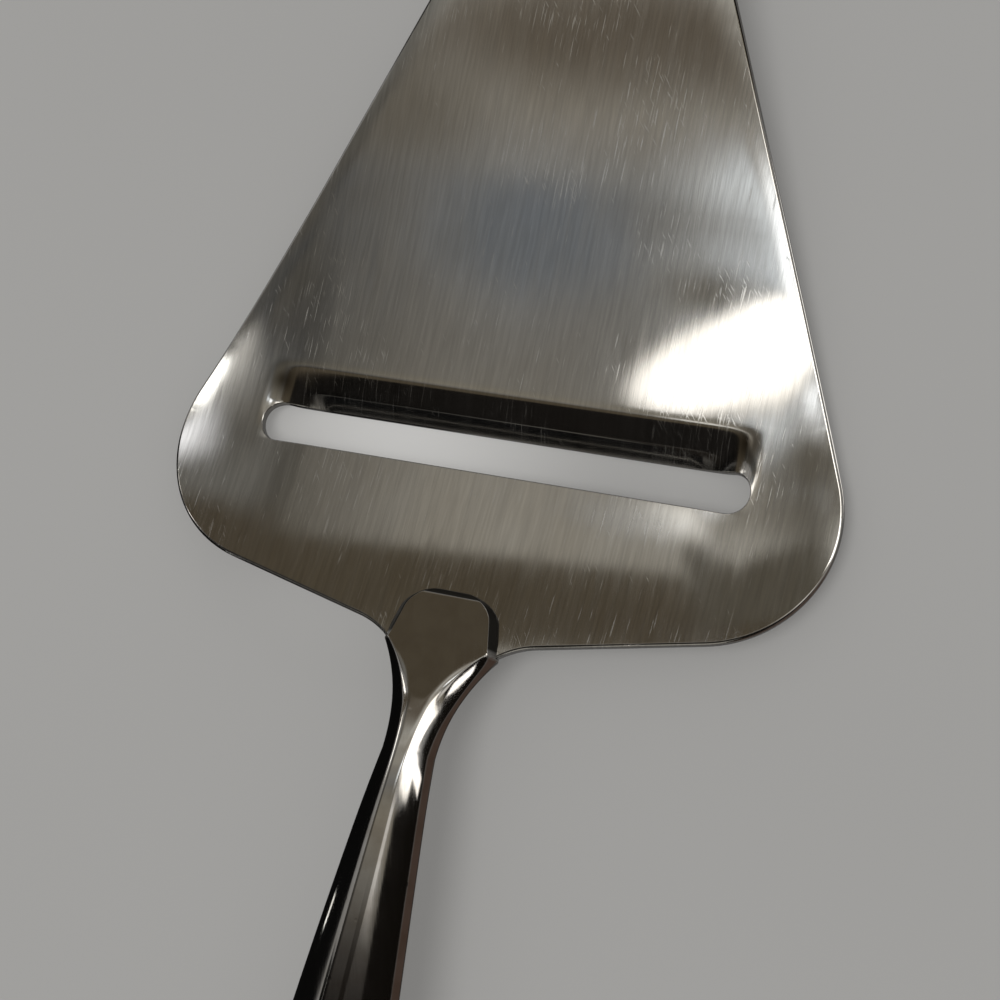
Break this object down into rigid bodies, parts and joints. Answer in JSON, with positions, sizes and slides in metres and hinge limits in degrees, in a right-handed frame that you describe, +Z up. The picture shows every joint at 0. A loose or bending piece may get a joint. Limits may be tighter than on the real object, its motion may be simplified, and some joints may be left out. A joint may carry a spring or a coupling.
{
  "type": "cheese slicer",
  "caption": "Table cheese slicer with a slotted, gently bowed steel blade gripped by the tongues of an arched, polished hollow handle.",
  "frame": {"origin": "on the table under the middle of the slicer as it lies, on the lip of its slot and the end of its handle", "axes": "+Z up from the table, +Y along the slicer from the handle to the tip, +X to the right of the handle's user"},
  "size_m": [0.0736, 0.2036, 0.0144],
  "materials": {
    "blade_steel": "satin, finely scratched along the blade",
    "handle_polish": "mirror polished, lightly worn",
    "handle_cement": "matt, hidden inside the handle"
  },
  "bodies": {
    "root": {"slicer_blade": "blade_steel", "handle_front_shell": "handle_polish", "handle_back_shell": "handle_polish", "handle_filler": "handle_cement"}
  },
  "joints": []
}
